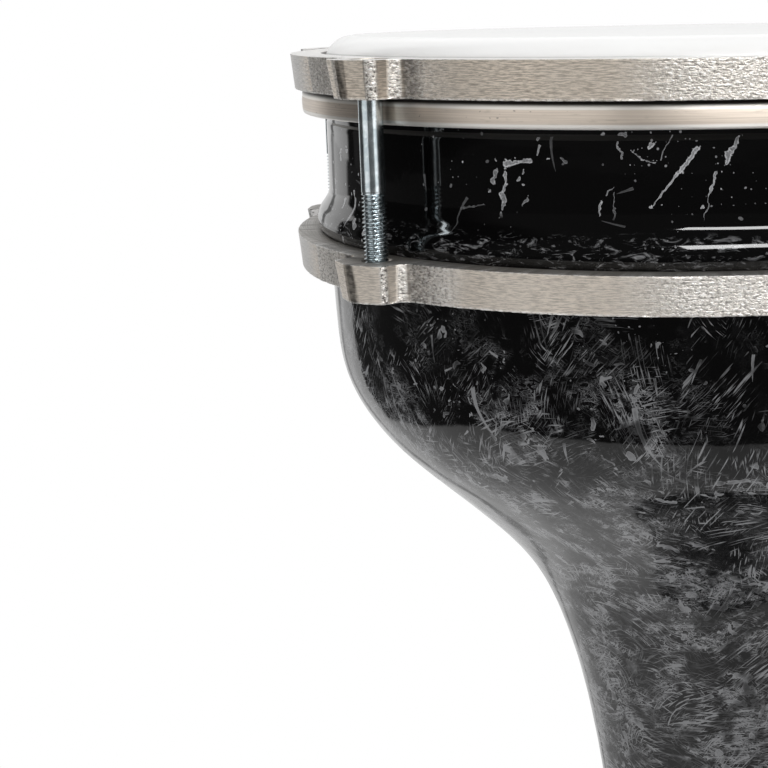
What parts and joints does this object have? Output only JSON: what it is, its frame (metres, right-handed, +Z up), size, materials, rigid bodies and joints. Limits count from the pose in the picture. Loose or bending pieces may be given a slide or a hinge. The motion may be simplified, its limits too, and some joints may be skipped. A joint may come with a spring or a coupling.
{
  "type": "goblet hand drum",
  "caption": "Bolt-tuned goblet hand drum: cast metal goblet shell with flared foot, film head, cast tension and counter rings joined by socket head screws.",
  "frame": {"origin": "centre of the foot's resting plane, on the drum's axis", "axes": "+Z up along the drum's axis, the drum head on top; +X through the axis of tension_bolt_1"},
  "size_m": [0.2618, 0.2428, 0.4307],
  "materials": {
    "shell_coating": "gloss black coating with silver-grey splatter veins, on cast aluminium, which is the metal its mass is counted from",
    "cast_ring": "cast and sawn, fine horizontal grain, rough corners",
    "rolled_hoop": "rolled, smooth satin",
    "resin": "cast potting resin",
    "head_film": "smooth white polyester film, low sheen",
    "zinc_screw": "bright blue zinc plating"
  },
  "bodies": {
    "shell": {"goblet_shell": "shell_coating", "counter_ring": "cast_ring", "drum_head": "head_film"},
    "head_frame": {"tension_ring": "cast_ring", "flesh_hoop": "rolled_hoop", "hoop_resin": "resin"},
    "bolt_1": {"tension_bolt_1": "zinc_screw"},
    "bolt_2": {"tension_bolt_2": "zinc_screw"},
    "bolt_3": {"tension_bolt_3": "zinc_screw"},
    "bolt_4": {"tension_bolt_4": "zinc_screw"},
    "bolt_5": {"tension_bolt_5": "zinc_screw"},
    "bolt_6": {"tension_bolt_6": "zinc_screw"}
  },
  "joints": [
    {"name": "head_tuning", "type": "slide", "parent": "shell", "child": "head_frame", "axis": [0, 0, 1], "range_m": [-0.002, 0.003], "deforming": ["drum_head"]},
    {"name": "bolt_1_turn", "type": "hinge", "parent": "head_frame", "child": "bolt_1", "pos_m": [0.12233, 0, 0.419], "axis": [0, 0, 1], "range_deg": [-721, 1081]},
    {"name": "bolt_2_turn", "type": "hinge", "parent": "head_frame", "child": "bolt_2", "pos_m": [0.06116, 0.10594, 0.419], "axis": [0, 0, 1], "range_deg": [-721, 1081]},
    {"name": "bolt_3_turn", "type": "hinge", "parent": "head_frame", "child": "bolt_3", "pos_m": [-0.06116, 0.10594, 0.419], "axis": [0, 0, 1], "range_deg": [-721, 1081]},
    {"name": "bolt_4_turn", "type": "hinge", "parent": "head_frame", "child": "bolt_4", "pos_m": [-0.12233, 0, 0.419], "axis": [0, 0, 1], "range_deg": [-721, 1081]},
    {"name": "bolt_5_turn", "type": "hinge", "parent": "head_frame", "child": "bolt_5", "pos_m": [-0.06116, -0.10594, 0.419], "axis": [0, 0, 1], "range_deg": [-721, 1081]},
    {"name": "bolt_6_turn", "type": "hinge", "parent": "head_frame", "child": "bolt_6", "pos_m": [0.06116, -0.10594, 0.419], "axis": [0, 0, 1], "range_deg": [-721, 1081]}
  ],
  "couplings": [
    {"joint": "bolt_1_turn", "follows": "head_tuning", "rad_per_m": 6283.2},
    {"joint": "bolt_2_turn", "follows": "head_tuning", "rad_per_m": 6283.2},
    {"joint": "bolt_3_turn", "follows": "head_tuning", "rad_per_m": 6283.2},
    {"joint": "bolt_4_turn", "follows": "head_tuning", "rad_per_m": 6283.2},
    {"joint": "bolt_5_turn", "follows": "head_tuning", "rad_per_m": 6283.2},
    {"joint": "bolt_6_turn", "follows": "head_tuning", "rad_per_m": 6283.2}
  ]
}
